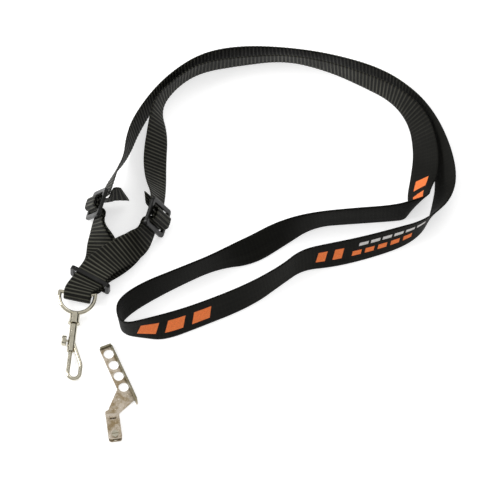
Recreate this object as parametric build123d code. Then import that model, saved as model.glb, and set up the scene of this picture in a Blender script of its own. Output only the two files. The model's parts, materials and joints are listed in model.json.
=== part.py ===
from build123d import *

import math
import os

# A neck strap for a hand-held radio transmitter: one length of 20 mm webbing laid in a
# loose loop, two tri-glide adjusters, a moulded keeper, a swivel bolt snap, and a loose
# steel balance bracket with its clamp. Millimetres, +Z up, +X to the right, +Y away from
# the front. The origin is the middle of the footprint, on the surface the strap lies on.

# --- webbing ---------------------------------------------------------------------------
WEB_WIDTH = 20.0
WEB_THICK = 1.1
STEPS_PER_ARC = 4            # ribbon sections for each control point of a route

# Control points of the neck loop from the left adjuster round to the right one:
# x, y, z of the lower edge, then how far the upper edge stands out from it in x and y.
NECK_ROUTE = [
    (-94, 48, 6, 4, -3),
    (-87, 58, 2, 1, -2),
    (-82, 68, 0, -3, 1),
    (-77, 81, 0, -4, 2),
    (-67, 100, 0, -2, 2),
    (-54, 116, 0, -1, 1),
    (-36, 130, 0, 0, 0),
    (-12, 136, 0, 0, -1),
    (20, 138, 0, -1, -4),
    (50, 132, 0, -1, -3),
    (80, 119, 0, 0, 0),
    (99, 103, 0, 2, 1),
    (108, 84, 0, 7, 3),
    (113, 63, 0, 12, 2),
    (115, 44, 0, 14, 0),
    (113, 31, 0, 12, -3),
    (111, 21, 0, 4, -5),
    (105, 9, 0, -1, 0),
    (92, -0.5, 0, -2, 6),
    (68, -9, 0, -2, 8),
    (48, -14, 0, -1, 9),
    (29, -16, 0, -1, 6),
    (17, -25, 0, -2, 3),
    (-4, -42, 0, -4, 7),
    (-38, -57, 0, -3, 8),
    (-60, -66, 0, -1, 11),
    (-74, -64, 0, 0, 4),
    (-85, -62, 0, -1, -1),
    (-89, -56, 0, -2, 0),
    (-84, -49, 0, -6, 4),
    (-72, -40, 0, -4, 6),
    (-50, -27, 0, -2, 3),
    (-26, -15, 0, -1, 2),
    (-2, -12, 0, -5, 12),
    (17, 1, 0, -6, 9),
    (36, 15, 0, -1, 1),
    (62, 17, 0, 0, 2),
    (88, 19, 0, 0, 2),
    (95, 20, 0, 5, 5),
    (98, 26, 0, 13, 5),
    (96.5, 36, 0, 15, -1),
    (99, 50, 0, 18, -1),
    (101, 68, 0, 16, 0),
    (98, 88, 0, 11, 3),
    (87, 104, 0, 2, 3),
    (68, 115, 0, 0, 1),
    (46, 126, 0, -1, -2),
    (18, 134, 0, 0, -5),
    (-12, 130, 0, 0, -3),
    (-38, 125, 0, 1, -2),
    (-54, 113, 0, 1, -1),
    (-63, 98, 0, -4, 0),
    (-58, 80, 0, -13, 0),
    (-59, 60, 0, -15, 0),
    (-59, 44, 0, -14, 0),
]

# How the webbing runs over and under the bars of an adjuster, seen along the bars:
# distance along the strap, then height above the middle of the frame.
HUMP_OUTER = [(0, 4.6), (2.0, 4.6), (3.9, 4.1), (4.6, 0.4), (5.4, -3.7), (12, -3.7)]
HUMP_INNER = [(2.4, 2.3), (3.0, -0.5), (4.2, -5.3), (12, -5.2)]

# --- adjusters -------------------------------------------------------------------------
GLIDE_LENGTH = 27.0          # along the bars
GLIDE_DEPTH = 19.4           # along the strap
GLIDE_BAR = 3.0
GLIDE_THICK = 2.4
GLIDE_CORNER = 2.6
LEFT_GLIDE = ((-103.6, 24.2, 15.0), (0.29, -0.29, 0.91), (-0.904, 0.215, 0.357))
RIGHT_GLIDE = ((-64.6, 14.7, 15.0), (0.40, 0.03, -0.91), (0.852, -0.335, 0.364))

# --- keeper ----------------------------------------------------------------------------
KEEPER_AT = (-107.8, -25.6, 6.2)
KEEPER_TURN = -30.0          # degrees from +X to the keeper's long side
KEEPER_INNER = (23.0, 9.0)
KEEPER_WALL = 1.7
KEEPER_END = 2.8
KEEPER_WIDTH = 2.8

# --- swivel bolt snap, in its own frame: x across, -y towards the hook, z up ------------
SNAP_AT = (-115.9, -35.1, 6.2)
SNAP_TURN = -6.5
SNAP_DROP = 4.0
RING_HALF = 11.5             # middle of the eye's bar to the middle of its side wire
RING_WIRE = 1.3
INNER_LOOP = 2.2             # layers of the left leg from the middle of the bar
OUTER_LOOP = 3.6             # layers of the right leg
LOOP_SLACK = 1.2             # how far the loops hang past the bar
LOOP_LEAN = -6.0             # degrees from the eye's bar to the fold of the loops
EYE_WIDTH = 17.6             # the webbing is gathered a little inside the eye
RING_SIDE = 2.2              # straight side of the eye before its bow
BOSS_FROM = 15.0
BOSS_TO = 20.4
BOSS_RADIUS = 3.3
COLLAR_THICK = 0.8
COLLAR_RADIUS = 3.9
BODY_FROM = 21.6
BODY_TO = 40.9
BODY_RADIUS = 2.45
BODY_BORE = 1.75
STEM_RADIUS = 1.25
STEM_HEAD = 1.65
BOLT_RADIUS = 1.3
BOLT_HEAD = 1.6
BOLT_TRAVEL = 7.0
NOSE_AT = 50.8
BOWL_RADIUS = 3.9
BOWL_AT = 54.9
HOOK_WIRE = 1.25
STUD_AT = 33.4
STUD_RADIUS = 3.4

# Stations of the two legs between adjuster and keeper, for the middle of their layers:
# x, y, z, direction across, direction towards the adjuster, distance between the layers,
# and how far the under layer has slipped sideways.
LEFT_LEG = [
    (-101.0, 4, 9.6, (0.6, -0.35, 0.7), (-0.1, 1, 0.1), 3.0, 3),
    (-100.0, -5, 7.0, (0.9, -0.1, 0.2), (0.1, 1, 0.1), 3.0, 1.0),
    (-101.6, -15, 6.2, (0.90, -0.40, 0.0), (0.4, 0.9, 0), 4.0, 0),
]
RIGHT_LEG = [
    (-77, 0, 10.6, (0.50, -0.35, -0.78), (0.6, 0.7, 0.1), 3.6, 1),
    (-86, -6, 8.8, (0.62, -0.66, -0.42), (0.75, 0.66, 0), 5.4, 2),
    (-97, -14, 6.5, (0.72, -0.68, -0.04), (0.7, 0.7, 0), 8.8, 1.0),
]

# --- balance bracket, in its own frame: y along the arm, z up ---------------------------
BRACKET_AT = (-91.0, -87.6, 0.0)
BRACKET_TURN = 22.3
PLATE = 1.2
ARM_WIDTH = 8.6
ARM_TOP = 18.5
ARM_FOOT = -24.0
TOP_LIP = 3.0
FLANGE_LOW = 2.2
FLANGE_HIGH = 6.6
HOLE_PITCH = 8.45
HOLE_RADIUS = 3.3
SHOULDER = [(-4.3, -12.5), (-18.6, -27.4), (-14, -33), (-9, -28.5), (2, -24), (4.3, -20)]
CLAMP_AT = (-13.3, -24.7)    # where the clamp's bed leaves the shoulder
CLAMP_TURN = -15.0
BED_WIDTH = 8.6
BED_LENGTH = 22.2
JAW_GAP = 3.6                # open height of the clamp
JAW_THICK = 1.0
JAW_LENGTH = 17.6
JAW_LIP = 1.4
GUIDE_WIDTH = 4.0
GUIDE_AT = -7.5
SCREW_AT = -19.4
SCREW_RADIUS = 1.45
SCREW_LOW = 1.8              # underside of the screw above the surface
SCREW_HEAD = 2.3
SCREW_HEAD_HIGH = 1.6
NUT_RADIUS = 2.7
NUT_HIGH = 2.6
FREE = 0.3                   # running clearance of the clamp parts


def unit(v):
    return Vector(*v).normalized()


def spline_stations(points, steps):
    """Quadratic B-spline through the route: one arc for each inner control point."""
    found = []
    last = len(points) - 1
    for i in range(1, last):
        before = points[0] if i == 1 else (points[i - 1] + points[i]) * 0.5
        after = points[last] if i == last - 1 else (points[i] + points[i + 1]) * 0.5
        for step in range(steps):
            t = step / steps
            found.append(before * (1 - t) ** 2 + points[i] * (2 * t * (1 - t)) + after * t ** 2)
    found.append(points[last])
    return found


def ribbon(route, steps=STEPS_PER_ARC):
    """A strip of webbing: route is a list of (middle, direction across, width).

    Where the direction across isn't square to the route, the weave is sheared.
    """
    middles = spline_stations([middle for middle, _, _ in route], steps)
    acrosses = spline_stations([across for _, across, _ in route], steps)
    widths = spline_stations([width for _, _, width in route], steps)
    sections = []
    for i, middle in enumerate(middles):
        ahead = middles[min(i + 1, len(middles) - 1)] - middles[max(i - 1, 0)]
        across = acrosses[i].normalized() * (widths[i] / 2)
        up = ahead.cross(across).normalized() * (WEB_THICK / 2)
        corners = [
            middle - across - up,
            middle + across - up,
            middle + across + up,
            middle - across + up,
        ]
        lift = Vector(0, 0, max(0, -min(corner.Z for corner in corners)))
        sections.append(Wire.make_polygon([corner + lift for corner in corners], close=True))
    return Solid.make_loft(sections, ruled=True)


def glide_frame(glide):
    """The plane of an adjuster: x along the bars, y along the strap, z out of its face."""
    origin, along, out = glide
    return Plane(origin=origin, x_dir=along, z_dir=out)


def glide_points(glide, profile, towards_neck, side):
    """Control points of webbing that passes over an adjuster's bars."""
    frame = glide_frame(glide)
    across = frame.x_dir * side
    found = []
    for along, height in profile:
        run = along if towards_neck else -along
        found.append((frame.from_local_coords(Vector(0, run, height)), across, WEB_WIDTH))
    return found


def edge_points(rows):
    """Middle and across direction from rows of a lower edge and its overhang."""
    found = []
    for x, y, z, out_x, out_y in rows:
        rise = math.sqrt(WEB_WIDTH ** 2 - out_x ** 2 - out_y ** 2)
        across = Vector(out_x, out_y, rise)
        found.append((Vector(x, y, z) + across * 0.5, across.normalized(), WEB_WIDTH))
    return found


def neck_webbing():
    start = glide_points(LEFT_GLIDE, HUMP_OUTER, True, 1)
    end = glide_points(RIGHT_GLIDE, HUMP_OUTER, True, -1)
    return ribbon(start + edge_points(NECK_ROUTE) + end[::-1])


def keeper_frame():
    turn = math.radians(KEEPER_TURN)
    return Plane(origin=KEEPER_AT, x_dir=(math.cos(turn), math.sin(turn), 0), z_dir=(0, 0, 1))


def snap_frame():
    turn = math.radians(SNAP_TURN)
    drop = math.radians(SNAP_DROP)
    across = Vector(math.cos(turn), math.sin(turn), 0)
    back = Vector(-math.sin(turn) * math.cos(drop), math.cos(turn) * math.cos(drop), math.sin(drop))
    return Plane(origin=SNAP_AT, x_dir=across, z_dir=across.cross(back))


def leg_side(stations, loop, front):
    """One layer of a leg from the adjuster down to the eye's bar."""
    side = 1 if front else -1
    found = []
    for x, y, z, along, heading, apart, slip in stations:
        across = unit(along)
        out = across.cross(unit(heading)).normalized()
        middle = Vector(x, y, z) + out * (side * apart / 2)
        if not front:
            middle += across * slip
        found.append((middle, across, WEB_WIDTH))
    keeper = keeper_frame()
    for run in (5.0, -3.5):
        found.append((keeper.from_local_coords(Vector(0, run, side * loop)), keeper.x_dir, WEB_WIDTH))
    snap = snap_frame()
    across = snap.x_dir.rotate(Axis((0, 0, 0), snap.z_dir), LOOP_LEAN)
    for run, height in ((1.5, loop), (-loop - LOOP_SLACK, loop * 1.05)):
        middle = snap.from_local_coords(Vector(0, run, side * height))
        found.append((middle, across, EYE_WIDTH))
    return found


def leg_webbing(glide, stations, loop, tail):
    front = glide_points(glide, HUMP_OUTER, False, 1) + leg_side(stations, loop, True)
    back = glide_points(glide, HUMP_INNER, False, 1) + leg_side(stations, loop, False)
    over = glide_points(glide, HUMP_INNER[:3], True, 1)
    return ribbon(front + back[::-1] + over + tail)


def left_leg_webbing():
    tail = [
        (Vector(-94.5, 30.7, 14.2), unit((0.06, 0.02, 1)), WEB_WIDTH),
        (Vector(-90.8, 32.0, 14.4), unit((0, 0, 1)), WEB_WIDTH),
        (Vector(-85.6, 31.4, 14.2), unit((-0.28, 0, 0.96)), WEB_WIDTH),
    ]
    return leg_webbing(LEFT_GLIDE, LEFT_LEG, INNER_LOOP, tail)


def right_leg_webbing():
    tail = glide_points(RIGHT_GLIDE, [(8, -7.2), (13, -9.5)], True, 1)
    return leg_webbing(RIGHT_GLIDE, RIGHT_LEG, OUTER_LOOP, tail)


def adjuster(glide):
    """A moulded tri-glide: two slots between three bars."""
    frame = RectangleRounded(GLIDE_LENGTH, GLIDE_DEPTH, GLIDE_CORNER)
    slot_width = (GLIDE_DEPTH - 3 * GLIDE_BAR) / 2
    slot = RectangleRounded(GLIDE_LENGTH - 2 * GLIDE_BAR, slot_width, 1.0)
    shift = (GLIDE_BAR + slot_width) / 2
    outline = frame - Pos(0, shift) * slot - Pos(0, -shift) * slot
    body = extrude(outline, amount=GLIDE_THICK / 2, both=True)
    body = fillet(body.edges().filter_by(Plane.XY), 0.6)
    body += Rot(0, 90, 0) * Cylinder(GLIDE_BAR / 2, GLIDE_LENGTH - 2 * GLIDE_BAR)
    return glide_frame(glide).location * body


def strap_keeper():
    inner_x, inner_z = KEEPER_INNER
    outer = RectangleRounded(inner_x + 2 * KEEPER_END, inner_z + 2 * KEEPER_WALL, 2.4)
    loop = extrude(outer - RectangleRounded(inner_x, inner_z, 0.8), amount=KEEPER_WIDTH / 2, both=True)
    edges = loop.edges().filter_by(Plane.XY)
    return keeper_frame().location * Rot(90, 0, 0) * fillet(edges, 0.5)


def along_snap(radius, start, end):
    """A round piece on the snap's axis between two distances from the eye's bar."""
    return Pos(0, -(start + end) / 2, 0) * Rot(90, 0, 0) * Cylinder(radius, end - start)


def swivel_eye():
    half = Pos(0, -25, 0) * Box(60, 50, 10)
    eye = Pos(0, -RING_SIDE, 0) * (Torus(RING_HALF, RING_WIRE) & half)
    eye += Rot(0, 90, 0) * Cylinder(RING_WIRE, 2 * RING_HALF)
    for side in (-1, 1):
        eye += Pos(side * RING_HALF, 0, 0) * Sphere(RING_WIRE)
        straight = Rot(90, 0, 0) * Cylinder(RING_WIRE, RING_SIDE)
        eye += Pos(side * RING_HALF, -RING_SIDE / 2, 0) * straight
    eye += along_snap(BOSS_RADIUS, BOSS_FROM, BOSS_TO)
    eye += along_snap(BOSS_RADIUS - 0.9, BOSS_FROM - 1.2, BOSS_FROM)
    eye -= along_snap(STEM_RADIUS, BOSS_FROM + 1.5, BOSS_TO + 1)
    return eye


def swivel_stem():
    stem = along_snap(STEM_RADIUS, BOSS_FROM + 1.5, BODY_FROM + 2.0)
    return stem + along_snap(STEM_HEAD, BODY_FROM + 1.4, BODY_FROM + 2.2)


def swivel_collar():
    start = BOSS_TO + 0.15
    ring = along_snap(COLLAR_RADIUS, start, start + COLLAR_THICK)
    return ring - along_snap(STEM_RADIUS + 0.15, start - 1, start + COLLAR_THICK + 1)


def hook_body():
    tube = along_snap(BODY_RADIUS, BODY_FROM, BODY_TO)
    tube = chamfer(tube.edges().filter_by(GeomType.CIRCLE), 0.4)
    bowl_end = BOWL_AT + BOWL_RADIUS
    route = FilletPolyline(
        (1.0, -(BODY_TO - 7.0), 0),
        (2 * BOWL_RADIUS, -(BODY_TO + 8.0), 0),
        (2 * BOWL_RADIUS, -bowl_end, 0),
        (0, -bowl_end, 0),
        (0, -NOSE_AT, 0),
        radius=[9.0, BOWL_RADIUS - 0.02, BOWL_RADIUS - 0.02],
    )
    section = Plane(origin=route @ 0, z_dir=route % 0) * Circle(HOOK_WIRE)
    hook = sweep(section, path=route)
    body = tube + hook
    body -= along_snap(BODY_BORE, BODY_FROM + 1.2, BODY_TO - 1.2)
    body -= along_snap(STEM_RADIUS + 0.15, BODY_FROM - 1, BODY_FROM + 2)
    body -= along_snap(BOLT_RADIUS + 0.12, BODY_TO - 2, BODY_TO + 0.6)
    slot_start = STUD_AT - BOLT_TRAVEL - 1.4
    slot_end = STUD_AT + 1.4
    slot = Box(BODY_RADIUS + 1, slot_end - slot_start, 2.4)
    body -= Pos(-(BODY_RADIUS + 1) / 2, -(slot_start + slot_end) / 2, 0) * slot
    return body


def gate_bolt():
    bolt = along_snap(BOLT_RADIUS, STUD_AT - 1, NOSE_AT - 0.1)
    bolt += along_snap(BOLT_HEAD, STUD_AT - 2.2, STUD_AT + 2.6)
    return bolt - Pos(-1.3, -STUD_AT, 0) * Rot(0, 90, 0) * Cylinder(0.8, 2.0)


def thumb_stud():
    shank = Pos(-2.0, -STUD_AT, 0) * Rot(0, 90, 0) * Cylinder(0.8, 3.4)
    head = Pos(-4.9, -STUD_AT, 0) * Rot(0, 90, 0) * Cylinder(STUD_RADIUS, 3.0)
    return shank + fillet(head.edges().filter_by(GeomType.CIRCLE), 0.6)


def bolt_spring():
    start = BODY_FROM + 2.4
    end = STUD_AT - 2.5
    turns = 4
    coil = Helix(pitch=(end - start - 0.4) / turns, height=end - start - 0.4, radius=1.25)
    wire = sweep(Plane(origin=coil @ 0, z_dir=coil % 0) * Circle(0.18), path=coil, is_frenet=True)
    return Pos(0, -(start + 0.2), 0) * Rot(90, 0, 0) * wire


def bracket_frame():
    return Location(BRACKET_AT, (0, 0, BRACKET_TURN))


def clamp_frame():
    """On the bracket: -y runs down the clamp's bed."""
    return Location((CLAMP_AT[0], CLAMP_AT[1], 0), (0, 0, CLAMP_TURN))


def balance_bracket():
    """A perforated arm with an upturned flange and lip, a shoulder and the clamp's bed."""
    long = ARM_TOP - ARM_FOOT
    outline = Pos(0, (ARM_TOP + ARM_FOOT) / 2) * RectangleRounded(ARM_WIDTH, long, 1.0)
    outline += Polygon(*SHOULDER, align=None)
    outline += clamp_frame() * Pos(0, -BED_LENGTH / 2) * RectangleRounded(BED_WIDTH, BED_LENGTH, 1.6)
    for row in range(4):
        outline -= Pos(0, (1.5 - row) * HOLE_PITCH) * Circle(HOLE_RADIUS)
    outline -= clamp_frame() * Pos(0, SCREW_AT) * Circle(NUT_RADIUS)
    bracket = extrude(outline, amount=PLATE)
    side_profile = Polygon(
        (ARM_TOP - 1, 0),
        (ARM_TOP - 1, FLANGE_LOW),
        (ARM_FOOT + 5, FLANGE_HIGH),
        (ARM_FOOT - 1, FLANGE_HIGH),
        (ARM_FOOT - 3, 0),
        align=None,
    )
    side_plane = Plane(origin=(ARM_WIDTH / 2 - PLATE, 0, 0), x_dir=(0, 1, 0), z_dir=(1, 0, 0))
    flange = extrude(side_plane * side_profile, amount=PLATE)
    lip = Pos(0, ARM_TOP - PLATE / 2, TOP_LIP / 2) * Box(ARM_WIDTH - 1.2, PLATE, TOP_LIP)
    guide_high = PLATE + JAW_GAP + JAW_THICK + 1.0
    guide = clamp_frame() * Pos(0, GUIDE_AT, guide_high / 2) * Box(GUIDE_WIDTH, PLATE, guide_high)
    return bracket_frame() * (bracket + flange + lip + guide)


def clamp_nut():
    nut = extrude(Circle(NUT_RADIUS) - Circle(SCREW_RADIUS + 0.1), amount=NUT_HIGH)
    return bracket_frame() * clamp_frame() * Pos(0, SCREW_AT) * nut


def clamp_jaw():
    """The moving plate of the clamp, with turned-down sides, guided by a tab."""
    middle = JAW_LENGTH / 2 - BED_LENGTH
    outline = Pos(0, middle) * RectangleRounded(BED_WIDTH, JAW_LENGTH, 1.4)
    outline -= Pos(0, GUIDE_AT) * Rectangle(GUIDE_WIDTH + 2 * FREE, PLATE + 2 * FREE)
    outline -= Pos(0, SCREW_AT) * Circle(SCREW_RADIUS + 0.1)
    jaw = extrude(outline, amount=JAW_THICK)
    for side in (-1, 1):
        lip = Box(JAW_THICK, JAW_LENGTH - 6, JAW_LIP)
        jaw += Pos(side * (BED_WIDTH - JAW_THICK) / 2, middle, -JAW_LIP / 2) * lip
    return bracket_frame() * clamp_frame() * Pos(0, 0, PLATE + JAW_GAP) * jaw


def clamp_screw():
    top = PLATE + JAW_GAP + JAW_THICK
    shank = Pos(0, 0, (SCREW_LOW + top) / 2) * Cylinder(SCREW_RADIUS, top - SCREW_LOW)
    head = Pos(0, 0, top + SCREW_HEAD_HIGH / 2) * Cylinder(SCREW_HEAD, SCREW_HEAD_HIGH)
    slot = Pos(0, 0, top + SCREW_HEAD_HIGH) * Box(2 * SCREW_HEAD + 1, 0.7, 1.4)
    return bracket_frame() * clamp_frame() * Pos(0, SCREW_AT) * (shank + head - slot)


def on_snap(piece):
    return snap_frame().location * piece


PIECES = {
    "neck_webbing": neck_webbing,
    "left_leg_webbing": left_leg_webbing,
    "right_leg_webbing": right_leg_webbing,
    "left_adjuster": lambda: adjuster(LEFT_GLIDE),
    "right_adjuster": lambda: adjuster(RIGHT_GLIDE),
    "strap_keeper": strap_keeper,
    "swivel_eye": lambda: on_snap(swivel_eye()),
    "swivel_stem": lambda: on_snap(swivel_stem()),
    "swivel_collar": lambda: on_snap(swivel_collar()),
    "hook_body": lambda: on_snap(hook_body()),
    "gate_bolt": lambda: on_snap(gate_bolt()),
    "thumb_stud": lambda: on_snap(thumb_stud()),
    "bolt_spring": lambda: on_snap(bolt_spring()),
    "balance_bracket": balance_bracket,
    "clamp_jaw": clamp_jaw,
    "clamp_screw": clamp_screw,
    "clamp_nut": clamp_nut,
}

if __name__ == "__main__":
    os.makedirs("parts", exist_ok=True)
    for name, make in PIECES.items():
        export_step(make(), f"parts/{name}.step")
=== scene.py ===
"""Looks of a webbing neck strap with its adjusters, keeper, bolt snap and balance bracket."""
import json
import math

import bmesh
import bpy
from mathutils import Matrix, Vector


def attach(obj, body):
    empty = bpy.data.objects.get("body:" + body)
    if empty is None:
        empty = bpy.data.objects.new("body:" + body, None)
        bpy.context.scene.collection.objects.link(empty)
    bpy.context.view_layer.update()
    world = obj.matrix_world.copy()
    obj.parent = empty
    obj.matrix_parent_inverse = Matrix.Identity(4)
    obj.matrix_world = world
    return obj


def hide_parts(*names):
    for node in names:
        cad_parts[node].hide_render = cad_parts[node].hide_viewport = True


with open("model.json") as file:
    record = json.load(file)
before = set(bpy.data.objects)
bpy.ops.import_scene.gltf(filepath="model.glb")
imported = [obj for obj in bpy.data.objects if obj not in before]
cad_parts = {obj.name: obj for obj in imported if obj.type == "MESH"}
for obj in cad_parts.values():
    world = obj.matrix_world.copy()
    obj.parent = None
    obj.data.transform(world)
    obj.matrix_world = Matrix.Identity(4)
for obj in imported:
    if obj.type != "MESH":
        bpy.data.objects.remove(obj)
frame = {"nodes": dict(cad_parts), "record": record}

bl_info = {
    "name": "Neck Strap",
    "version": (1, 0, 0),
    "blender": (4, 5, 0),
    "location": "3D View > Sidebar > Strap",
    "description": "Builds a neck strap with adjusters, a keeper, a bolt snap and a balance bracket",
    "category": "Add Mesh",
}

MM = 0.001
WEB_WIDTH = 20.0

# Control points of the neck loop from the left adjuster round to the right one, in
# millimetres: x, y, z of the lower edge, then how far the upper edge stands out from it.
NECK_ROUTE = [
    (-94, 48, 6, 4, -3),
    (-87, 58, 2, 1, -2),
    (-82, 68, 0, -3, 1),
    (-77, 81, 0, -4, 2),
    (-67, 100, 0, -2, 2),
    (-54, 116, 0, -1, 1),
    (-36, 130, 0, 0, 0),
    (-12, 136, 0, 0, -1),
    (20, 138, 0, -1, -4),
    (50, 132, 0, -1, -3),
    (80, 119, 0, 0, 0),
    (99, 103, 0, 2, 1),
    (108, 84, 0, 7, 3),
    (113, 63, 0, 12, 2),
    (115, 44, 0, 14, 0),
    (113, 31, 0, 12, -3),
    (111, 21, 0, 4, -5),
    (105, 9, 0, -1, 0),
    (92, -0.5, 0, -2, 6),
    (68, -9, 0, -2, 8),
    (48, -14, 0, -1, 9),
    (29, -16, 0, -1, 6),
    (17, -25, 0, -2, 3),
    (-4, -42, 0, -4, 7),
    (-38, -57, 0, -3, 8),
    (-60, -66, 0, -1, 11),
    (-74, -64, 0, 0, 4),
    (-85, -62, 0, -1, -1),
    (-89, -56, 0, -2, 0),
    (-84, -49, 0, -6, 4),
    (-72, -40, 0, -4, 6),
    (-50, -27, 0, -2, 3),
    (-26, -15, 0, -1, 2),
    (-2, -12, 0, -5, 12),
    (17, 1, 0, -6, 9),
    (36, 15, 0, -1, 1),
    (62, 17, 0, 0, 2),
    (88, 19, 0, 0, 2),
    (95, 20, 0, 5, 5),
    (98, 26, 0, 13, 5),
    (96.5, 36, 0, 15, -1),
    (99, 50, 0, 18, -1),
    (101, 68, 0, 16, 0),
    (98, 88, 0, 11, 3),
    (87, 104, 0, 2, 3),
    (68, 115, 0, 0, 1),
    (46, 126, 0, -1, -2),
    (18, 134, 0, 0, -5),
    (-12, 130, 0, 0, -3),
    (-38, 125, 0, 1, -2),
    (-54, 113, 0, 1, -1),
    (-63, 98, 0, -4, 0),
    (-58, 80, 0, -13, 0),
    (-59, 60, 0, -15, 0),
    (-59, 44, 0, -14, 0),
]
HUMP_OUTER = [(0, 4.6), (2.0, 4.6), (3.9, 4.1), (4.6, 0.4), (5.4, -3.7), (12, -3.7)]
HUMP_INNER = [(2.4, 2.3), (3.0, -0.5), (4.2, -5.3), (12, -5.2)]

# Adjusters: middle, direction along the bars, direction out of the face.
LEFT_GLIDE = ((-103.6, 24.2, 15.0), (0.29, -0.29, 0.91), (-0.904, 0.215, 0.357))
RIGHT_GLIDE = ((-64.6, 14.7, 15.0), (0.40, 0.03, -0.91), (0.852, -0.335, 0.364))
KEEPER_AT = (-107.8, -25.6, 6.2)
KEEPER_TURN = -30.0
SNAP_AT = (-115.9, -35.1, 6.2)
SNAP_TURN = -6.5
SNAP_DROP = 4.0
INNER_LOOP = 2.2
OUTER_LOOP = 3.6
LOOP_SLACK = 1.2
LOOP_LEAN = -6.0
EYE_WIDTH = 17.6

# Stations of the legs: x, y, z, direction across, direction towards the adjuster,
# distance between the layers, and how far the under layer has slipped sideways.
LEFT_LEG = [
    (-101.0, 4, 9.6, (0.6, -0.35, 0.7), (-0.1, 1, 0.1), 3.0, 3),
    (-100.0, -5, 7.0, (0.9, -0.1, 0.2), (0.1, 1, 0.1), 3.0, 1.0),
    (-101.6, -15, 6.2, (0.90, -0.40, 0.0), (0.4, 0.9, 0), 4.0, 0),
]
RIGHT_LEG = [
    (-77, 0, 10.6, (0.50, -0.35, -0.78), (0.6, 0.7, 0.1), 3.6, 1),
    (-86, -6, 8.8, (0.62, -0.66, -0.42), (0.75, 0.66, 0), 5.4, 2),
    (-97, -14, 6.5, (0.72, -0.68, -0.04), (0.7, 0.7, 0), 8.8, 1.0),
]

ARC_STEPS = 24               # samples for each control point before even spacing
RIB_PARTS = 6                # mesh rows in one rib
FACE_PARTS = 9               # mesh columns across one face of the webbing
COLUMN_CROWDING = 0.72       # below 1, draws the mesh columns towards both selvedges
SELVEDGE_RISE = 14.0         # how quickly the face reaches its full height from a selvedge
SELVEDGE_THICK = 0.35        # share of the thickness left at a selvedge
FLOOR_CLEARANCE = 0.55       # half the thickness that the lowest edge keeps above the floor
PRESS_FADE = 60.0            # length over which the ribs fade into the pressed stretch
YARN_PITCH = 0.62            # distance from one lengthwise end to the next
UV_MM = 100.0                # millimetres to one unit of the straps' UV maps
PERIMETER = 42.0             # round the webbing, both faces and both selvedges
ATTR_RIB = "rib_strength"

# Rows of equal printed blocks on the neck loop, in millimetres: start of the first block
# along the loop from the left adjuster, length of a block, pitch, how many, lower and
# upper edge over the face, and how far a block slides along the loop for each
# millimetre across it.
ORANGE_ROWS = [
    (808.0, 7.5, 11.5, 2, 5.6, 14.4, -0.30),
    (437.0, 6.0, 11.0, 2, 6.6, 14.4, 0.30),
    (390.0, 6.0, 8.6, 5, 6.6, 10.2, 0.30),
    (533.0, 12.0, 18.0, 3, 5.6, 14.4, 0.30),
]
PALE_ROWS = [
    (382.0, 6.2, 7.9, 6, 13.4, 15.8, 0.35),
]

# The bracket's own frame: y along its arm.
BRACKET_AT = (-91.0, -87.6, 0.0)
BRACKET_TURN = 22.3

CAMERA_TURN = 0.0
CAMERA_RISE = 65.0
CAMERA_LENS = 1500.0
CAMERA_SENSOR = 36.0
CAMERA_WIDTH = 322.5
CAMERA_AIM = (-4.9, -1.6, 0.0)

FLOOR_SIZE = 6.0
# Name, place in metres, size and power of each lamp. They all face the middle of the floor.
LAMPS = (
    ("key_light", (-1.3, 0.1, 0.75), 0.7, 16.0),
    ("fill_light", (0.5, 0.9, 1.2), 0.8, 4.0),
)


# --- settings ---------------------------------------------------------------------------


class StrapSettings(bpy.types.PropertyGroup):
    """Sizes and colours of the webbing."""

    thickness: bpy.props.FloatProperty(
        name="Thickness",
        description="Thickness of the webbing between its ribs' tops",
        default=1.05 * MM,
        unit="LENGTH",
    )
    rib_pitch: bpy.props.FloatProperty(
        name="Rib Pitch",
        description="Distance from one cross rib to the next",
        default=2.5 * MM,
        unit="LENGTH",
    )
    rib_height: bpy.props.FloatProperty(
        name="Rib Height",
        description="Height of the bold cross ribs on the unpressed stretches",
        default=0.24 * MM,
        unit="LENGTH",
    )
    pressed: bpy.props.FloatProperty(
        name="Pressed",
        description="Share of the rib height left where the strap is pressed for printing",
        default=0.04,
        subtype="FACTOR",
    )
    ribbed_length: bpy.props.FloatProperty(
        name="Ribbed Length",
        description="Unpressed stretch of the neck loop above each adjuster",
        default=245 * MM,
        unit="LENGTH",
    )
    yarn: bpy.props.FloatVectorProperty(
        name="Yarn",
        description="Colour of the webbing's yarn in shade",
        default=(0.0014, 0.0014, 0.0011),
        subtype="COLOR",
    )
    # Painted highlight: the colour that the tops of the ribs are lightened to, standing in for their
    # sheen.
    rib_highlight: bpy.props.FloatVectorProperty(
        name="Yarn Light",
        description="Colour of the yarn on top of the ribs",
        default=(0.074, 0.073, 0.056),
        subtype="COLOR",
    )
    ink: bpy.props.FloatVectorProperty(
        name="Ink",
        description="Colour of the printed bars and blocks",
        default=(0.97, 0.235, 0.065),
        subtype="COLOR",
    )
    pale_ink: bpy.props.FloatVectorProperty(
        name="Pale Ink",
        description="Colour of the printed row of small dashes",
        default=(0.72, 0.70, 0.68),
        subtype="COLOR",
    )


class HardwareSettings(bpy.types.PropertyGroup):
    """Colours of the plastic and metal pieces."""

    plastic: bpy.props.FloatVectorProperty(
        name="Plastic",
        description="Colour of the moulded adjusters and keeper",
        default=(0.0042, 0.0042, 0.0038),
        subtype="COLOR",
    )
    nickel: bpy.props.FloatVectorProperty(
        name="Nickel",
        description="Colour of the plated snap",
        default=(0.52, 0.485, 0.385),
        subtype="COLOR",
    )
    raw_steel: bpy.props.FloatVectorProperty(
        name="Raw Steel",
        description="Colour of the bracket's cut steel",
        default=(0.50, 0.44, 0.36),
        subtype="COLOR",
    )


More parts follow.
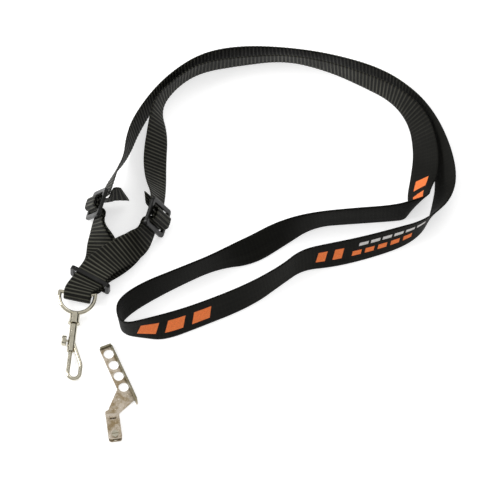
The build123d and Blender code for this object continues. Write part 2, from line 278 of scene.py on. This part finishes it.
class StageSettings(bpy.types.PropertyGroup):
    """Floor and light."""

    floor: bpy.props.FloatVectorProperty(
        name="Floor",
        description="Colour of the floor",
        default=(0.70, 0.70, 0.70),
        subtype="COLOR",
    )
    lift: bpy.props.FloatProperty(
        name="Lift",
        description="Glow of the floor, which keeps the shadows on it faint",
        default=0.56,
    )
    light: bpy.props.FloatProperty(
        name="Light",
        description="Strength of the light from the room's ceiling",
        default=0.85,
    )
    horizon: bpy.props.FloatVectorProperty(
        name="Horizon",
        description="Colour of the room's walls, which the metal reflects",
        default=(0.035, 0.033, 0.024),
        subtype="COLOR",
    )


# --- frames and routes ------------------------------------------------------------------


def unit(values):
    return Vector(values).normalized()


class Place:
    """A local frame with its origin in millimetres."""

    def __init__(self, origin, along, out):
        self.origin = Vector(origin)
        self.x = unit(along)
        z = unit(out)
        self.z = (z - self.x * z.dot(self.x)).normalized()
        self.y = self.z.cross(self.x)

    def at(self, x, y, z):
        return self.origin + self.x * x + self.y * y + self.z * z


def glide_place(glide):
    """Keeps the out direction exact and turns the bars' direction square to it."""
    origin, along, out = glide
    z = unit(out)
    x = unit(along)
    x = (x - z * x.dot(z)).normalized()
    return Place(origin, x, z)


def keeper_place():
    """The keeper's frame: x across the webbing, y towards the adjusters."""
    turn = math.radians(KEEPER_TURN)
    return Place(KEEPER_AT, (math.cos(turn), math.sin(turn), 0), (0, 0, 1))


def snap_place():
    """The snap's frame: x along the eye's bar, y towards the keeper."""
    turn = math.radians(SNAP_TURN)
    drop = math.radians(SNAP_DROP)
    across = Vector((math.cos(turn), math.sin(turn), 0))
    back = Vector((-math.sin(turn) * math.cos(drop), math.cos(turn) * math.cos(drop), math.sin(drop)))
    return Place(SNAP_AT, across, across.cross(back))


def glide_points(glide, profile, towards_neck, side):
    """Route points through an adjuster, from a profile of run and height."""
    place = glide_place(glide)
    sign = 1 if towards_neck else -1
    return [(place.at(0, sign * run, height), place.x * side, WEB_WIDTH) for run, height in profile]


def neck_points():
    """The neck loop's route, out of one adjuster and into the other."""
    start = glide_points(LEFT_GLIDE, HUMP_OUTER, True, 1)
    end = glide_points(RIGHT_GLIDE, HUMP_OUTER, True, -1)
    middle = []
    for x, y, z, out_x, out_y in NECK_ROUTE:
        rise = math.sqrt(WEB_WIDTH ** 2 - out_x ** 2 - out_y ** 2)
        across = Vector((out_x, out_y, rise))
        middle.append((Vector((x, y, z)) + across * 0.5, across.normalized(), WEB_WIDTH))
    return start + middle + end[::-1]


def leg_side(stations, loop, front):
    """One layer of a leg, from its adjuster through the keeper to the eye."""
    side = 1 if front else -1
    found = []
    for x, y, z, along, heading, apart, slip in stations:
        across = unit(along)
        out = across.cross(unit(heading)).normalized()
        middle = Vector((x, y, z)) + out * (side * apart / 2)
        if not front:
            middle += across * slip
        found.append((middle, across, WEB_WIDTH))
    keeper = keeper_place()
    for run in (5.0, -3.5):
        found.append((keeper.at(0, run, side * loop), keeper.x, WEB_WIDTH))
    snap = snap_place()
    lean = math.radians(LOOP_LEAN)
    across = snap.x * math.cos(lean) + snap.y * math.sin(lean)
    for run, height in ((1.5, loop), (-loop - LOOP_SLACK, loop * 1.05)):
        found.append((snap.at(0, run, side * height), across, EYE_WIDTH))
    return found


def leg_points(glide, stations, loop, tail):
    """A leg's route: down the front, round the eye, back up and over the adjuster."""
    front = glide_points(glide, HUMP_OUTER, False, 1) + leg_side(stations, loop, True)
    back = glide_points(glide, HUMP_INNER, False, 1) + leg_side(stations, loop, False)
    over = glide_points(glide, HUMP_INNER[:3], True, 1)
    return front + back[::-1] + over + tail


def left_leg_points():
    tail = [
        (Vector((-94.5, 30.7, 14.2)), unit((0.06, 0.02, 1)), WEB_WIDTH),
        (Vector((-90.8, 32.0, 14.4)), unit((0, 0, 1)), WEB_WIDTH),
        (Vector((-85.6, 31.4, 14.2)), unit((-0.28, 0, 0.96)), WEB_WIDTH),
    ]
    return leg_points(LEFT_GLIDE, LEFT_LEG, INNER_LOOP, tail)


def right_leg_points():
    tail = glide_points(RIGHT_GLIDE, [(8, -7.2), (13, -9.5)], True, 1)
    return leg_points(RIGHT_GLIDE, RIGHT_LEG, OUTER_LOOP, tail)


def spline(values, steps):
    """Quadratic B-spline with clamped ends: one arc for each inner control value."""
    found = []
    last = len(values) - 1
    for i in range(1, last):
        before = values[0] if i == 1 else (values[i - 1] + values[i]) * 0.5
        after = values[last] if i == last - 1 else (values[i] + values[i + 1]) * 0.5
        for step in range(steps):
            t = step / steps
            found.append(before * (1 - t) ** 2 + values[i] * (2 * t * (1 - t)) + after * t ** 2)
    found.append(values[last])
    return found


def even_stations(points, spacing):
    """Middles, across and face directions and widths at an even spacing along a route."""
    middles = spline([p[0] for p in points], ARC_STEPS)
    acrosses = spline([p[1] for p in points], ARC_STEPS)
    widths = spline([p[2] for p in points], ARC_STEPS)
    reached = [0.0]
    for a, b in zip(middles, middles[1:]):
        reached.append(reached[-1] + (b - a).length)
    count = max(8, round(reached[-1] / spacing))
    found = []
    k = 0
    for i in range(count + 1):
        want = reached[-1] * i / count
        while k < len(reached) - 2 and reached[k + 1] < want:
            k += 1
        t = (want - reached[k]) / max(reached[k + 1] - reached[k], 1e-9)
        before = middles[max(k - 1, 0)]
        after = middles[min(k + 2, len(middles) - 1)]
        ahead = (after - before).normalized()
        across = acrosses[k].lerp(acrosses[k + 1], t)
        across.normalize()
        middle = middles[k].lerp(middles[k + 1], t)
        width = widths[k] * (1 - t) + widths[k + 1] * t
        out = across.cross(ahead).normalized()
        lowest = middle.z - abs(across.z) * width / 2 - abs(out.z) * FLOOR_CLEARANCE
        middle.z += max(0.0, -lowest)
        found.append((middle, across, out, width))
    return found, reached[-1]


# --- mesh helpers -----------------------------------------------------------------------


def finish_piece(bm, name, material, body, replaced):
    """Turns a bmesh into a finished piece that stands for the replaced nodes."""
    bmesh.ops.recalc_face_normals(bm, faces=bm.faces)
    mesh = bpy.data.meshes.new(name)
    bm.to_mesh(mesh)
    bm.free()
    piece = bpy.data.objects.new(name, mesh)
    bpy.context.scene.collection.objects.link(piece)
    piece.data.materials.append(material)
    mesh.shade_smooth()
    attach(piece, body)
    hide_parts(*replaced)
    return piece


def face_position(run):
    """From -1 at one selvedge to 1 at the other, with the mesh columns closer at both."""
    across = -math.cos(math.pi * run)
    return math.copysign(abs(across) ** COLUMN_CROWDING, across)


def unrolled(share):
    """Distance round the webbing, in millimetres, from the lower edge of the printed face."""
    half = PERIMETER / 2
    reach = WEB_WIDTH / 2
    selvedge = half / 2 - reach
    if share < 0.5:
        return selvedge + reach * (1 + face_position(share * 2))
    return half + selvedge + reach * (1 + face_position(share * 2 - 1))


def section_point(share, width, thick, rib):
    """Across and height of a point round the webbing: the first half is the printed face."""
    face = share < 0.5
    run = share * 2 if face else (share - 0.5) * 2
    across = face_position(run)
    edge = min(1.0, (1 - abs(across)) * SELVEDGE_RISE)
    body = thick / 2 * (SELVEDGE_THICK + (1 - SELVEDGE_THICK) * edge ** 0.5)
    height = (body + rib * edge) if 0 < run < 1 else 0.0
    if not face:
        across = -across
        height = -height
    return across * width / 2, height


def rib_strength(settings, s, length, ribbed):
    """Full near the adjusters, little where the strap is pressed for printing."""
    if ribbed is None:
        return 1.0
    edge = min(s, length - s)
    fade = min(1.0, max(0.0, (edge - ribbed) / PRESS_FADE))
    fade = fade * fade * (3 - 2 * fade)
    return 1.0 + (settings.pressed - 1.0) * fade


def strap(name, points, material, replaced, ribbed=None):
    """A woven strap laid along its route from a flat grid, with real cross ribs."""
    settings = bpy.context.scene.strap_settings
    pitch = settings.rib_pitch / MM
    stations, length = even_stations(points, pitch / RIB_PARTS)
    columns = 2 * FACE_PARTS
    bm = bmesh.new()
    bmesh.ops.create_grid(bm, x_segments=len(stations) - 1, y_segments=columns, size=0.5)
    uv = bm.loops.layers.uv.new("UVMap")
    strength = bm.verts.layers.float.new(ATTR_RIB)
    last = len(stations) - 1
    for face in bm.faces:
        for loop in face.loops:
            co = loop.vert.co
            loop[uv].uv = ((co.x + 0.5) * length / UV_MM, unrolled(co.y + 0.5) / UV_MM)
    thick = settings.thickness / MM
    for vert in bm.verts:
        row = round((vert.co.x + 0.5) * last)
        share = round((vert.co.y + 0.5) * columns) / columns
        middle, across, out, width = stations[row]
        s = length * row / last
        bold = rib_strength(settings, s, length, ribbed)
        vert[strength] = bold
        rib = settings.rib_height / MM * bold
        wave = 0.5 + 0.5 * math.cos(2 * math.pi * s / pitch)
        over, height = section_point(share % 1.0, width, thick - 2 * rib, rib * wave)
        vert.co = (middle + across * over + out * height) * MM
    bmesh.ops.remove_doubles(bm, verts=bm.verts, dist=1e-7)
    ends = [edge for edge in bm.edges if edge.is_boundary]
    bmesh.ops.holes_fill(bm, edges=ends, sides=0)
    piece = finish_piece(bm, name, material, "webbing", replaced)
    return piece


# --- materials --------------------------------------------------------------------------


class Shader:
    """A node tree that is written one value after another."""

    def __init__(self, name):
        self.material = bpy.data.materials.new(name)
        self.material.use_nodes = True
        self.tree = self.material.node_tree
        self.base = self.tree.nodes["Principled BSDF"]

    def node(self, kind, **values):
        made = self.tree.nodes.new(kind)
        for key, value in values.items():
            setattr(made, key, value)
        return made

    def link(self, out, into):
        self.tree.links.new(out, into)

    def put(self, socket, value):
        if isinstance(value, bpy.types.NodeSocket):
            self.link(value, socket)
        else:
            socket.default_value = value

    def math(self, how, a, b=0.0, c=0.0, clamp=False):
        made = self.node("ShaderNodeMath", operation=how, use_clamp=clamp)
        self.put(made.inputs[0], a)
        self.put(made.inputs[1], b)
        self.put(made.inputs[2], c)
        return made.outputs[0]

    def smooth(self, value, low, high):
        made = self.node("ShaderNodeMapRange", interpolation_type="SMOOTHSTEP")
        self.put(made.inputs["Value"], value)
        self.put(made.inputs["From Min"], low)
        self.put(made.inputs["From Max"], high)
        return made.outputs["Result"]

    def remap(self, value, low, high, to_low, to_high):
        made = self.node("ShaderNodeMapRange")
        self.put(made.inputs["Value"], value)
        self.put(made.inputs["From Min"], low)
        self.put(made.inputs["From Max"], high)
        self.put(made.inputs["To Min"], to_low)
        self.put(made.inputs["To Max"], to_high)
        return made.outputs["Result"]

    def mix(self, share, a, b):
        made = self.node("ShaderNodeMix", data_type="RGBA")
        self.put(made.inputs[0], share)
        self.put(made.inputs[6], a)
        self.put(made.inputs[7], b)
        return made.outputs[2]

    def noise(self, vector, scale, detail=3.0, rough=0.5):
        made = self.node("ShaderNodeTexNoise")
        self.put(made.inputs["Vector"], vector)
        self.put(made.inputs["Scale"], scale)
        self.put(made.inputs["Detail"], detail)
        self.put(made.inputs["Roughness"], rough)
        return made.outputs["Fac"]

    def place(self):
        return self.node("ShaderNodeTexCoord").outputs["Object"]

    def uv_mm(self):
        split = self.node("ShaderNodeSeparateXYZ")
        self.link(self.node("ShaderNodeUVMap", uv_map="UVMap").outputs["UV"], split.inputs[0])
        along = self.math("MULTIPLY", split.outputs[0], UV_MM)
        round_it = self.math("MULTIPLY", split.outputs[1], UV_MM)
        return along, round_it

    def wave(self, value, pitch):
        turn = self.math("MULTIPLY", value, 2 * math.pi / pitch)
        return self.math("MULTIPLY_ADD", self.math("COSINE", turn), 0.5, 0.5)

    def bump(self, height, strength, distance):
        made = self.node("ShaderNodeBump")
        self.put(made.inputs["Strength"], strength)
        self.put(made.inputs["Distance"], distance)
        self.put(made.inputs["Height"], height)
        self.link(made.outputs[0], self.base.inputs["Normal"])

    def window(self, value, low, high):
        inside = self.math("GREATER_THAN", value, low)
        return self.math("MULTIPLY", inside, self.math("LESS_THAN", value, high))

    def block(self, along, over, low, high, bottom, top, slant):
        """One slanted block between two distances along and over the strap."""
        slid = self.math("MULTIPLY_ADD", over, slant, along)
        lit = self.window(slid, low, high)
        return self.math("MULTIPLY", lit, self.window(over, bottom, top))

    def print_rows(self, along, over, rows):
        """Every block of one ink, row by row."""
        lit = None
        for start, length, pitch, count, bottom, top, slant in rows:
            for i in range(count):
                low = start + pitch * i
                one = self.block(along, over, low, low + length, bottom, top, slant)
                lit = one if lit is None else self.math("MAXIMUM", lit, one)
        return lit


def color(values):
    return (*values, 1.0)


def webbing_material(name, prints):
    """Ribbed yarn with fine lengthwise ends and a painted highlight on the rib tops, and, on the neck
    loop, ink on its face.
    """
    settings = bpy.context.scene.strap_settings
    s = Shader(name)
    along, over = s.uv_mm()
    spot = s.place()
    bold = s.node("ShaderNodeAttribute", attribute_name=ATTR_RIB).outputs["Fac"]
    rib = s.wave(along, settings.rib_pitch / MM)
    ends = s.wave(over, YARN_PITCH)
    end_number = s.math("FLOOR", s.math("DIVIDE", over, YARN_PITCH))
    shift = s.math("MULTIPLY_ADD", end_number, YARN_PITCH / 2, along)
    picks = s.wave(shift, YARN_PITCH)
    fuzz = s.noise(spot, 5200.0, 2.0)
    drift = s.noise(spot, 42.0, 3.0)
    # Painted highlight: the tops of the ribs are lightened in colour, standing in for their sheen,
    # while the grooves keep the dark yarn colour.
    crown_highlight = s.math("MULTIPLY", s.smooth(rib, 0.50, 1.0), bold)
    across = s.node("ShaderNodeCombineXYZ")
    s.put(across.inputs[0], over)
    s.put(across.inputs[1], s.math("MULTIPLY", along, 0.01))
    streak = s.remap(s.noise(across.outputs[0], 1.1, 4.0, 0.7), 0.35, 0.65, 0.2, 1.9)
    fine = s.math("MULTIPLY_ADD", ends, 0.045, s.math("MULTIPLY", picks, 0.02))
    fine = s.math("MULTIPLY", fine, streak)
    light = s.math("MULTIPLY_ADD", crown_highlight, 0.72, fine)
    light = s.math("MULTIPLY", light, s.remap(drift, 0.3, 0.7, 0.45, 1.25))
    light = s.math("MULTIPLY_ADD", fuzz, 0.05, light, clamp=True)
    yarn = s.mix(light, color(settings.yarn), color(settings.rib_highlight))
    if prints:
        worn = s.math("MULTIPLY_ADD", s.noise(spot, 1400.0, 2.0), 0.9, s.math("MULTIPLY", ends, 0.25))
        cover = s.remap(worn, 0.3, 0.75, 1.0, 0.72)
        orange = s.print_rows(along, over, ORANGE_ROWS)
        pale = s.print_rows(along, over, PALE_ROWS)
        yarn = s.mix(s.math("MULTIPLY", orange, cover), yarn, color(settings.ink))
        yarn = s.mix(s.math("MULTIPLY", pale, cover), yarn, color(settings.pale_ink))
    s.put(s.base.inputs["Base Color"], yarn)
    s.put(s.base.inputs["Roughness"], s.remap(light, 0.0, 1.0, 0.62, 0.42))
    s.base.inputs["Specular IOR Level"].default_value = 0.09
    height = s.math("MULTIPLY_ADD", ends, 0.45, s.math("MULTIPLY", picks, 0.35))
    height = s.math("MULTIPLY_ADD", fuzz, 0.35, height)
    s.bump(height, 0.7, 0.00012)
    return s.material


def plastic_material():
    """Moulded nylon with a fine matt grain, rubbed a little paler on its high spots."""
    settings = bpy.context.scene.hardware_settings
    s = Shader("moulded_plastic")
    spot = s.place()
    grain = s.noise(spot, 2600.0, 3.0)
    rubs = s.noise(spot, 190.0, 4.0)
    rub = s.smooth(rubs, 0.55, 0.75)
    base = settings.plastic
    s.put(s.base.inputs["Base Color"], s.mix(rub, color(base), color([c * 2.4 for c in base])))
    s.put(s.base.inputs["Roughness"], s.remap(rubs, 0.3, 0.7, 0.26, 0.40))
    s.base.inputs["Specular IOR Level"].default_value = 0.24
    s.bump(grain, 0.25, 0.00006)
    return s.material


def nickel_material():
    """Bright plating over a casting: slight waviness, fine scratches, warm tint."""
    settings = bpy.context.scene.hardware_settings
    s = Shader("nickel_plate")
    spot = s.place()
    cast = s.noise(spot, 420.0, 4.0)
    scratch = s.noise(spot, 3100.0, 2.0)
    base = settings.nickel
    dull = color([c * 0.80 for c in base])
    s.put(s.base.inputs["Base Color"], s.mix(s.smooth(cast, 0.4, 0.75), color(base), dull))
    s.base.inputs["Metallic"].default_value = 1.0
    s.put(s.base.inputs["Roughness"], s.remap(scratch, 0.3, 0.7, 0.06, 0.15))
    s.bump(cast, 0.06, 0.00010)
    return s.material


def raw_steel_material():
    """Cut sheet: brown staining, rolling lines, bright rubbed spots, and a dark greenish painted
    shade over the flange side and the arm's far end.
    """
    settings = bpy.context.scene.hardware_settings
    s = Shader("raw_steel")
    spot = s.place()
    stain = s.noise(spot, 210.0, 5.0, 0.6)
    blotch = s.noise(spot, 900.0, 3.0)
    stretch = s.node("ShaderNodeMapping")
    stretch.inputs["Rotation"].default_value = (0, 0, math.radians(-22))
    stretch.inputs["Scale"].default_value = (6.0, 0.5, 6.0)
    s.link(spot, stretch.inputs["Vector"])
    rolled = s.noise(stretch.outputs[0], 900.0, 2.0)
    local = s.node("ShaderNodeMapping", vector_type="TEXTURE")
    local.inputs["Location"].default_value = Vector(BRACKET_AT) * MM
    local.inputs["Rotation"].default_value = (0, 0, math.radians(BRACKET_TURN))
    s.link(spot, local.inputs["Vector"])
    split = s.node("ShaderNodeSeparateXYZ")
    s.link(local.outputs[0], split.inputs[0])
    # Painted shade: a mask over the flange side, where x passes 2 to 3.4 mm and y passes -27.5 to -25
    # mm, and over the arm where y passes 17 mm. The flange-side part stands in for the shaded face of
    # a flange that the mesh keeps flat.
    side = s.smooth(split.outputs[0], 2.0 * MM, 3.4 * MM)
    side = s.math("MULTIPLY", side, s.smooth(split.outputs[1], -27.5 * MM, -25.0 * MM))
    shade = s.math("MAXIMUM", side, s.smooth(split.outputs[1], 16.9 * MM, 17.3 * MM))
    base = settings.raw_steel
    brown = [base[0] * 0.52, base[1] * 0.44, base[2] * 0.30]
    tone = s.mix(s.smooth(stain, 0.36, 0.66), color(base), color(brown))
    tone = s.mix(s.smooth(blotch, 0.60, 0.74), tone, color([min(1.0, c * 1.5) for c in base]))
    # Colour of the painted shade.
    shade_tone = color([base[0] * 0.34, base[1] * 0.36, base[2] * 0.28])
    s.put(s.base.inputs["Base Color"], s.mix(s.math("MULTIPLY", shade, 0.8), tone, shade_tone))
    s.base.inputs["Metallic"].default_value = 1.0
    s.put(s.base.inputs["Roughness"], s.remap(rolled, 0.3, 0.7, 0.26, 0.46))
    s.bump(s.math("MULTIPLY_ADD", rolled, 0.6, s.math("MULTIPLY", stain, 0.5)), 0.45, 0.00015)
    return s.material


def floor_material():
    """Pale card with a slight glow, which keeps the shadows on it faint."""
    settings = bpy.context.scene.stage_settings
    s = Shader("pale_floor")
    soft = s.noise(s.place(), 9.0, 2.0)
    base = settings.floor
    s.put(s.base.inputs["Base Color"], s.mix(soft, color(base), color([c * 0.985 for c in base])))
    s.base.inputs["Roughness"].default_value = 0.8
    s.base.inputs["Specular IOR Level"].default_value = 0.1
    s.base.inputs["Emission Color"].default_value = (1.0, 1.0, 1.0, 1.0)
    s.base.inputs["Emission Strength"].default_value = settings.lift
    return s.material


def room_world():
    """A pale ceiling over darker walls."""
    settings = bpy.context.scene.stage_settings
    world = bpy.data.worlds.new("room")
    world.use_nodes = True
    tree = world.node_tree
    split = tree.nodes.new("ShaderNodeSeparateXYZ")
    tree.links.new(tree.nodes.new("ShaderNodeTexCoord").outputs["Generated"], split.inputs[0])
    rise = tree.nodes.new("ShaderNodeMapRange")
    rise.interpolation_type = "SMOOTHSTEP"
    rise.inputs["From Min"].default_value = 0.10
    rise.inputs["From Max"].default_value = 0.62
    tree.links.new(split.outputs["Z"], rise.inputs["Value"])
    mix = tree.nodes.new("ShaderNodeMix")
    mix.data_type = "RGBA"
    tree.links.new(rise.outputs["Result"], mix.inputs[0])
    mix.inputs[6].default_value = color(settings.horizon)
    mix.inputs[7].default_value = (1.0, 1.0, 1.0, 1.0)
    back = tree.nodes["Background"]
    tree.links.new(mix.outputs[2], back.inputs["Color"])
    back.inputs["Strength"].default_value = settings.light
    return world


# --- operators --------------------------------------------------------------------------


class STRAP_OT_webbing(bpy.types.Operator):
    """Weaves the neck loop and both legs"""

    bl_idname = "strap.webbing"
    bl_label = "Webbing"

    def execute(self, context):
        ribbed = context.scene.strap_settings.ribbed_length / MM
        plain = webbing_material("ribbed_webbing", False)
        printed = webbing_material("printed_webbing", True)
        strap("neck_strap", neck_points(), printed, ["neck_webbing"], ribbed)
        strap("left_leg_strap", left_leg_points(), plain, ["left_leg_webbing"])
        strap("right_leg_strap", right_leg_points(), plain, ["right_leg_webbing"])
        return {"FINISHED"}


class STRAP_OT_hardware(bpy.types.Operator):
    """Finishes the moulded, plated and raw metal pieces"""

    bl_idname = "strap.hardware"
    bl_label = "Hardware"

    def execute(self, context):
        finishes = {
            "plastic_charcoal": plastic_material(),
            "nickel_plate": nickel_material(),
            "bracket_steel": raw_steel_material(),
        }
        finishes["snap_steel"] = finishes["nickel_plate"]
        finishes["spring_steel"] = finishes["nickel_plate"]
        finishes["screw_steel"] = finishes["nickel_plate"]
        for part in frame["record"]["subparts"]:
            finish = finishes.get(part["material_slot"])
            if finish:
                node = frame["nodes"][part["node"]]
                for slot in node.material_slots:
                    slot.material = finish
        return {"FINISHED"}


class STRAP_OT_stage(bpy.types.Operator):
    """Sets the floor, the light and the camera"""

    bl_idname = "strap.stage"
    bl_label = "Stage"

    def execute(self, context):
        scene = context.scene
        bm = bmesh.new()
        bmesh.ops.create_grid(bm, x_segments=2, y_segments=2, size=FLOOR_SIZE)
        mesh = bpy.data.meshes.new("floor")
        bm.to_mesh(mesh)
        bm.free()
        floor = bpy.data.objects.new("floor", mesh)
        floor.data.materials.append(floor_material())
        scene.collection.objects.link(floor)
        scene.world = room_world()
        for name, spot, size, power in LAMPS:
            lamp = bpy.data.lights.new(name, "AREA")
            lamp.size = size
            lamp.energy = power
            holder = bpy.data.objects.new(name, lamp)
            holder.location = spot
            holder.rotation_euler = (-Vector(spot)).to_track_quat("-Z", "Y").to_euler()
            scene.collection.objects.link(holder)
        turn = math.radians(CAMERA_TURN)
        rise = math.radians(CAMERA_RISE)
        level = math.cos(rise)
        back_off = Vector((math.sin(turn) * level, -math.cos(turn) * level, math.sin(rise)))
        view = bpy.data.cameras.new("camera")
        view.lens = CAMERA_LENS
        view.sensor_width = CAMERA_SENSOR
        view.clip_start = 0.1
        view.clip_end = 60.0
        camera = bpy.data.objects.new("camera", view)
        reach = CAMERA_WIDTH * MM * CAMERA_LENS / CAMERA_SENSOR
        camera.location = Vector(CAMERA_AIM) * MM + back_off * reach
        camera.rotation_euler = (-back_off).to_track_quat("-Z", "Y").to_euler()
        scene.collection.objects.link(camera)
        scene.camera = camera
        scene.view_settings.view_transform = "Standard"
        return {"FINISHED"}


class STRAP_PT_panel(bpy.types.Panel):
    """Lists the strap's builders and settings"""

    bl_idname = "STRAP_PT_panel"
    bl_label = "Neck Strap"
    bl_space_type = "VIEW_3D"
    bl_region_type = "UI"
    bl_category = "Strap"

    def draw(self, context):
        layout = self.layout
        for operator in OPERATORS:
            layout.operator(operator.bl_idname)
        for name in SETTINGS:
            group = getattr(context.scene, name)
            box = layout.box()
            for key in type(group).__annotations__:
                box.prop(group, key)


SETTINGS = {
    "strap_settings": StrapSettings,
    "hardware_settings": HardwareSettings,
    "stage_settings": StageSettings,
}
OPERATORS = (STRAP_OT_stage, STRAP_OT_webbing, STRAP_OT_hardware)


def register():
    for name, group in SETTINGS.items():
        bpy.utils.register_class(group)
        setattr(bpy.types.Scene, name, bpy.props.PointerProperty(type=group))
    for operator in OPERATORS:
        bpy.utils.register_class(operator)
    bpy.utils.register_class(STRAP_PT_panel)


def unregister():
    bpy.utils.unregister_class(STRAP_PT_panel)
    for operator in reversed(OPERATORS):
        bpy.utils.unregister_class(operator)
    for name, group in SETTINGS.items():
        delattr(bpy.types.Scene, name)
        bpy.utils.unregister_class(group)


def main():
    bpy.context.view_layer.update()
    register()
    bpy.ops.strap.stage()
    bpy.ops.strap.webbing()
    bpy.ops.strap.hardware()


if __name__ == "__main__":
    main()
